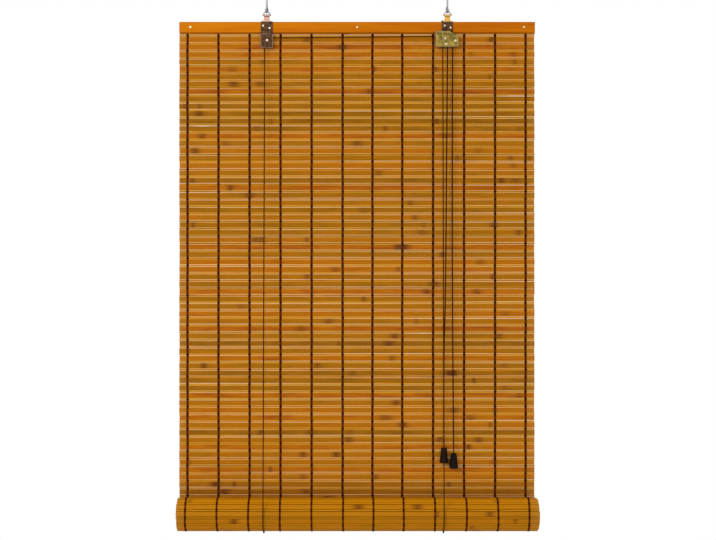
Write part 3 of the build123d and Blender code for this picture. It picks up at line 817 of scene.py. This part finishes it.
def wide_profile(half, deep):
    inner = half - slat_edge
    crown = slat_crown_share * half
    side = slat_side_share * deep
    shoulder = slat_shoulder_share * deep
    back = slat_back_share * deep
    return [
        (-half, side), (-half, -side), (-inner, -shoulder), (-crown, -deep), (crown, -deep),
        (inner, -shoulder), (half, -side), (half, side), (inner, back), (-inner, back),
    ]


def thin_profile(half, deep):
    flat_half = stick_flat_share * half
    side = stick_side_share * deep
    front = stick_front_share * deep
    back = stick_back_share * deep
    return [
        (-half, side), (-half, -side), (-flat_half, -front), (flat_half, -front),
        (half, -side), (half, side), (flat_half, back), (-flat_half, back),
    ]


station_count = 33
end_skin = 0.0008
end_spread = 0.0011
knot_steps = (-0.026, -0.018, -0.012, -0.007, -0.003, 0.0, 0.003, 0.007, 0.012, 0.018, 0.026)
knot_counts = (1, 1, 2, 2, 3)
knot_limit = 0.39
knot_reaches = (0.004, 0.013)
knot_dark_shares = (0.4, 1.0)
sway_waves = 3
sway_rates = (2, 9)
sway_size = 0.00011
sway_lean = 0.0002


def bar_stations(marks, left_spare, right_spare):
    left = -blind_width / 2 - left_spare + dice.uniform(0.0, end_spread)
    right = blind_width / 2 + right_spare - dice.uniform(0.0, end_spread)
    stations = [left + (right - left) * k / (station_count - 1) for k in range(station_count)]
    stations += [left + end_skin, right - end_skin]
    for at, reach, depth in marks:
        stations += [at + step for step in knot_steps if left + end_skin < at + step < right - end_skin]
    return sorted(set(stations))


def slat_marks():
    """Bamboo nodes along one slat, as place, reach and darkness."""
    marks = []
    for _ in range(dice.choice(knot_counts)):
        at = dice.uniform(-knot_limit, knot_limit)
        reach = dice.uniform(*knot_reaches)
        marks.append((at, reach, dice.uniform(*knot_dark_shares)))
    return marks


def sway():
    """A gentle unevenness along a bar, in metres."""
    waves = [
        (dice.uniform(*sway_rates), dice.uniform(0, full_turn), dice.uniform(0, sway_size))
        for _ in range(sway_waves)
    ]
    lean = dice.uniform(-sway_lean, sway_lean)

    def offset(x):
        return lean * x / blind_width + sum(size * math.sin(rate * x + turn) for rate, turn, size in waves)

    return offset


# Flat mat: bars a little taller than the part's, so that light shows only as thin lines
slat_kind = 0
stick_kind = 1
flap_kind = 2
wide_half = 0.00605
thin_half = 0.00213
stick_thick_share = 0.86
mat_thick_share = 0.97
hidden_tall_share = 0.95
rail_inside = 0.026
mat_left_spare = 0.0010
depth_spread = 0.00012
depth_share = 0.3
stick_pale_shares = (0.05, 0.4)
stick_rim_shares = (0.75, 1.0)
slat_rim_shares = (0.45, 0.8)
stick_seed = 70

# Rows just above the roll, stained darker
roll_stain_shares = {62: 0.14, 63: 0.32, 64: 0.44, 65: 0.44}

# Bars that bow away from a neighbour: row and kind, then the stretch across the mat and the bow's height
odd_gaps = {
    (9, stick_kind): (0.30, 0.42, 0.0009),
    (14, slat_kind): (-0.385, -0.315, -0.0007),
    (41, stick_kind): (0.10, 0.19, 0.0005),
}

flat = Bars()
for row in range(flat_pitches):
    pitch_top = head_top - row * slat_pitch
    row_marks = slat_marks()
    for kind in (slat_kind, stick_kind):
        if kind == slat_kind:
            middle = pitch_top - wide_height / 2
            profile = wide_profile(wide_half, half_thick)
            marks = row_marks
        else:
            middle = pitch_top - wide_height - slat_gap - thin_height / 2
            profile = thin_profile(thin_half, stick_thick_share * half_thick)
            marks = []
        hidden = middle > head_top - rail_inside
        wave = sway()
        depth = depth_share * dice.uniform(-depth_spread, depth_spread)
        odd = odd_gaps.get((row, kind))

        def place(x, u, v, middle=middle, wave=wave, depth=depth, odd=odd, hidden=hidden):
            if hidden:
                return (x, mat_y + v * mat_thick_share, middle + u * hidden_tall_share)
            lift = wave(x)
            if odd and odd[0] < x < odd[1]:
                lift += odd[2] * math.sin(math.pi * (x - odd[0]) / (odd[1] - odd[0])) ** 2
            return (x, mat_y + v * mat_thick_share + depth, middle + u + lift)

        paleness = dice.uniform(*stick_pale_shares) if kind == stick_kind else 0.0
        rim_paleness = dice.uniform(*(stick_rim_shares if kind == stick_kind else slat_rim_shares))
        ends = bar_stations(marks, mat_left_spare, 0.0)
        stain = roll_stain_shares.get(row, 0.0)
        seed = row + stick_seed * kind
        flat.bar(profile, ends, place, dice.random(), marks, seed, paleness, rim_paleness, stain)
mat = flat.piece("slats_and_sticks", bamboo)
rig.replaces(mat, "slat_mat")
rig.slot(mat, "bamboo")
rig.blend(mat, "head", "sling", start=(0, mat_y, head_bottom), end=(0, mat_y, roll_z))


# Roll: the same bars laid along a spiral, each one a chord of it
def spiral_radius(angle):
    return roll_mid_radius - turn_pitch * angle / full_turn


def spiral_point(angle, radius):
    return Vector((roll_y + radius * math.cos(angle), roll_z - radius * math.sin(angle)))


rolled_halves = {slat_kind: 0.0056, stick_kind: 0.0017, flap_kind: flap_height / 2}
rolled_stick_share = 0.9
rolled_sway_share = 0.4
left_fan = 0.0012
right_spare = 0.0006
right_fan = 0.0042
rolled_stick_pale_shares = (0.2, 0.5)
rolled_slat_pale_shares = (0.0, 0.3)
rolled_tone_shares = (0.3, 0.72)
top_pale_share = 0.5
under_pale_share = 0.3
roll_seed = 200

rolled = Bars()
angle = 0.0
bars = rolled_pitches * [(slat_kind, wide_height), (stick_kind, thin_height)] + [(flap_kind, flap_height)]
for n, (kind, height) in enumerate(bars):
    radius = spiral_radius(angle)
    next_angle = angle + 2 * math.asin(height / 2 / radius)
    first = spiral_point(angle, radius)
    second = spiral_point(next_angle, spiral_radius(next_angle))
    middle = (first + second) / 2
    along = (second - first).normalized()
    outward = (middle - Vector((roll_y, roll_z))).normalized()
    outward = (outward - along * outward.dot(along)).normalized()
    half = rolled_halves[kind]
    if kind == stick_kind:
        profile = thin_profile(half, rolled_stick_share * half_thick)
    else:
        profile = wide_profile(half, half_thick)
    marks = slat_marks() if kind == slat_kind else []
    wave = sway()

    def place(x, u, v, middle=middle, along=along, outward=outward, wave=wave):
        spot = middle + along * (u + rolled_sway_share * wave(x)) - outward * v
        return (x, spot[0], spot[1])

    forward = max(-outward[0], 0)
    ends = bar_stations(marks, left_fan * forward, right_spare + right_fan * forward)
    paleness = dice.uniform(*(rolled_stick_pale_shares if kind == stick_kind else rolled_slat_pale_shares))
    paleness += top_pale_share * max(outward[1], 0) + under_pale_share * max(-outward[1], 0)
    tone = dice.uniform(*rolled_tone_shares)
    rolled.bar(profile, ends, place, tone, marks, n + roll_seed, paleness, 0.0)
    angle = next_angle + slat_gap / spiral_radius(next_angle)
roll = rolled.piece("rolled_slats", rolled_bamboo)
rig.replaces(roll, "rolled_mat")
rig.slot(roll, "bamboo")
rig.ride(roll, "roll")

# Warp threads: two strands that cross in each gap, one in front of the wide slats, one of the sticks
strand_sides = 6
strand_deep = 0.0004
front_reach = 0.00128
bead_half = 0.0030
pinch_half = 0.0022
behind_full_share = 0.6
wander = 0.00025
wander_rate = 61
wander_stagger = 2.1
strand_part = 0.0002
even_full_share = 0.5
strand_stagger = 0.3

# Along one pitch: the run from its top, the strand's depth from -1 in front to 1 behind, and its fullness
slat_stations = [
    (-0.00015, -0.75, 0.45), (0.0020, -1.06, 0.3), (0.0093, -1.06, 0.3), (0.01145, -0.75, 0.45),
]
stick_stations = [(0.01215, 0.75, 0.7), (0.0140, 0.95, 1.15), (0.0159, 0.75, 0.7)]

# How far each thread stands from its even place, in millimetres
warp_shifts = (-0.7, -0.2, 0.4, 0.8, 1.5, 2.0, -0.2, -2.4, -2.3, -1.8, -1.3, -2.0)
warp_places = [
    (n - (warp_count - 1) / 2) * 2 * warp_reach / (warp_count - 1) + shift * millimetre
    for n, shift in enumerate(warp_shifts)
]


def strand_stations(count, start_run, end_run):
    stations = []
    for n in range(count):
        for at, depth, full in slat_stations + stick_stations:
            run = n * slat_pitch + at
            if start_run < run < end_run:
                stations.append((run, depth, full))
    return stations


def strand_section(full, share):
    half = (pinch_half + (bead_half - pinch_half) * full) * share
    turns = [full_turn * k / strand_sides for k in range(strand_sides)]
    return [(half * math.cos(turn), strand_deep * math.sin(turn)) for turn in turns]


def warps(name, count, start_run, end_run, width_share, place):
    points = []
    faces = []
    grain = []
    spread = []
    stations = strand_stations(count, start_run, end_run)
    for n, warp_x in enumerate(warp_places):
        for side in (1, -1):
            start = len(points)
            for at, depth, full in stations:
                apart = strand_part * side * (even_full_share - full)
                middle = warp_x + wander * math.sin(at * wander_rate + n * wander_stagger) + apart
                fill = full if depth * side < 0 else behind_full_share * full
                for across, out in strand_section(fill, width_share):
                    points.append(place(middle + across, at, side * depth * front_reach + out))
                    grain.append((across, at, side * strand_stagger + n))
                    spread.append(1.0 if at % slat_pitch < wide_height - slat_gap else 0.0)
            faces += tube_faces(start, len(stations), strand_sides)
    return make_piece(name, points, faces, thread, rope_crease, grain=grain, spread=spread)


def on_mat(x, run, v):
    return (x, mat_y + v, head_top - run)


rail_clearance = 0.0005
roll_clearance = 0.0006
flat_start = head_top - head_bottom + rail_clearance
flat_end = head_top - roll_z - roll_clearance
flat_warps = warps("twined_threads", flat_pitches, flat_start, flat_end, 1, on_mat)
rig.replaces(flat_warps, "warp_threads")
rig.slot(flat_warps, "thread")
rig.blend(flat_warps, "head", "sling", start=(0, mat_y, head_bottom), end=(0, mat_y, roll_z))

# Length run along the spiral, turned into an angle
spiral_runs = [(0.0, 0.0)]
angle_step = 0.02
while spiral_runs[-1][1] < full_turn:
    run, angle = spiral_runs[-1]
    spiral_runs.append((run + spiral_radius(angle) * angle_step, angle + angle_step))


def spiral_angle(run):
    for (low, low_angle), (high, high_angle) in zip(spiral_runs, spiral_runs[1:]):
        if low <= run <= high:
            return low_angle + (high_angle - low_angle) * (run - low) / (high - low)
    return spiral_runs[-1][1]


roll_shift = 0.0015


def on_roll(x, run, v):
    turn = spiral_angle(run)
    spot = spiral_point(turn, spiral_radius(turn) - v)
    return (x + roll_shift, spot[0], spot[1])


roll_turn_run = 0.2226
roll_turn_pitches = 14
roll_width_share = 0.8
roll_warps = warps(
    "rolled_threads", roll_turn_pitches, rail_clearance, roll_turn_run, roll_width_share, on_roll,
)
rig.replaces(roll_warps, "roll_warp_threads")
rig.slot(roll_warps, "thread")
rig.ride(roll_warps, "roll")

# Finishes of the solid pieces: each plate is dark below the rail's top and pale on its loop above
plate_stops = spaced((0.012, 0.007, 0.005), (0.115, 0.057, 0.029))
zinc_stops = spaced((0.10, 0.072, 0.028), (0.225, 0.157, 0.032), (0.38, 0.295, 0.07))
steel_stops = spaced((0.54, 0.45, 0.29), (0.80, 0.70, 0.48))
wire_stops = spaced((0.16, 0.16, 0.165), (0.34, 0.34, 0.35))
wheel_stops = spaced((0.3, 0.29, 0.27), (0.48, 0.46, 0.42))
bell_stops = spaced((0.002, 0.001, 0.0008), (0.009, 0.004, 0.003))
loop_colours = {"left": (0.46, 0.27, 0.21), "right": (0.60, 0.34, 0.09)}
loop_rise = 0.0004
loop_start = head_top + loop_rise
plate_mottle = 210
zinc_mottle = 150
bell_mottle = 420
plate_rough_share = 0.42
cover_rough_share = 0.4
steel_rough_share = 0.32
wire_rough_share = 0.28
wheel_rough_share = 0.35
bell_rough_share = 0.55
bell_bump_share = 0.25
bell_gloss_share = 0.08
bare_bronze = (0.40, 0.27, 0.19)
bare_zinc = (0.36, 0.29, 0.12)

steel = metal_material("bright_steel", steel_stops, steel_rough_share)
wire = metal_material("plated_wire", wire_stops, wire_rough_share)
wheel = metal_material("wheel_steel", wheel_stops, wheel_rough_share)
bell = metal_material(
    "dark_bell", bell_stops, bell_rough_share, bell_mottle, 0.0, bell_bump_share, bell_gloss_share,
)
bronze = metal_material(
    "dark_bronze_cover", plate_stops, cover_rough_share, plate_mottle,
    worn=(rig.box("left_pulley_cover"), bare_bronze),
)
zinc = metal_material(
    "yellow_zinc", zinc_stops, cover_rough_share, zinc_mottle, worn=(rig.box("lock_cover"), bare_zinc),
)
knot_cord = cord_material("knotted_cord")
finished_nodes = [
    (varnish, ("front_batten", "rear_batten", "bottom_batten")),
    (wire, ("left_hook", "right_hook", "left_ring", "right_ring")),
    (bronze, ("left_pulley_cover",)),
    (zinc, ("lock_cover", "lock_pin")),
    (steel, ("batten_rivets", "bottom_rivets", "plate_nails", "lock_rivets", "left_pulley_axle")),
    (wheel, ("left_pulley", "lock_front_pulley", "lock_rear_pulley")),
    (wheel, ("lock_left_cam", "lock_right_cam", "lock_divider")),
    (bell, ("left_tassel", "right_tassel")),
    (knot_cord, ("cord_knots", "left_tassel_knot", "right_tassel_knot")),
]
for side, loop_colour in loop_colours.items():
    plate = metal_material(
        f"dark_bronze_{side}", plate_stops, plate_rough_share, plate_mottle, fade=(loop_start, loop_colour),
    )
    finished_nodes.append((plate, (f"{side}_hanger_plate",)))
for finish, names in finished_nodes:
    for name in names:
        mesh = nodes[name].data
        mesh.materials.clear()
        mesh.materials.append(finish)

# Floor well below the lowered roll, fading out at its rim
floor_z = -1.665
floor_reach = 2.3
floor_corners = 96
fade_span = (1.5, 2.28)
fade_shares = (1.0, 0.0)
floor_colour = (0.9, 0.9, 0.9)
floor_rough_share = 0.8
floor_specular_share = 0.1
floor_points = [(0, 0, floor_z)]
floor_faces = []
for k in range(floor_corners):
    turn = full_turn * k / floor_corners
    floor_points.append((floor_reach * math.cos(turn), floor_reach * math.sin(turn), floor_z))
    floor_faces.append((0, k + 1, (k + 1) % floor_corners + 1))
floor_material, shading, shader = new_material("pale_floor")
level = shading.add("ShaderNodeVectorMath", {1: (1, 1, 0)}, operation="MULTIPLY")
reach = shading.add("ShaderNodeVectorMath", operation="LENGTH")
shading.feed(level.inputs[0], shading.object_place())
shading.feed(reach.inputs[0], level.outputs[0])
shading.feed(shader.inputs["Base Color"], floor_colour)
shader.inputs["Roughness"].default_value = floor_rough_share
shader.inputs["Specular IOR Level"].default_value = floor_specular_share
shading.feed(shader.inputs["Alpha"], shading.ranged(reach.outputs["Value"], fade_span, fade_shares))
floor = make_piece("floor", floor_points, floor_faces, floor_material)
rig.stage(floor)

# Soft studio light: a white surround that shows brighter than it shines
surround_colour = (1, 1, 1)
surround_shares = (0.56, 1.0)
world = bpy.data.worlds.new("studio")
scene.world = world
world.use_nodes = True
shading = Shading(world.node_tree)
surround = shading.nodes["Background"]
path = shading.add("ShaderNodeLightPath")
seen = shading.maths("MAXIMUM", path.outputs["Is Camera Ray"], path.outputs["Is Glossy Ray"])
seen_through = shading.maths("MAXIMUM", seen, path.outputs["Is Transmission Ray"])
shading.feed(surround.inputs["Color"], surround_colour)
shading.feed(surround.inputs["Strength"], shading.ranged(seen_through, unit_shares, surround_shares))

# Two broad lamps in front, one high on the left and a weaker one low on the right: place, aim, size, power
lamps = {
    "key_lamp": ((-1.8, -3.0, 0.7), (0, 0, -0.65), (1.8, 1.8), 52),
    "fill_lamp": ((0.7, -3.3, -1.05), (0, 0, -0.9), (1.6, 0.9), 17),
}
for name, (place, aim, (wide, tall), power) in lamps.items():
    lamp_data = bpy.data.lights.new(name, "AREA")
    lamp_data.shape = "ELLIPSE"
    lamp_data.size = wide
    lamp_data.size_y = tall
    lamp_data.energy = power
    lamp = bpy.data.objects.new(name, lamp_data)
    lamp.location = place
    lamp.rotation_euler = (Vector(aim) - Vector(place)).to_track_quat("-Z", "Y").to_euler()
    scene.collection.objects.link(lamp)

with open("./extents.json", "w") as file:
    boxes = {"cad": [list(c) for c in cad_box], "visual": [list(c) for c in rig.bounds()]}
    json.dump(boxes, file)
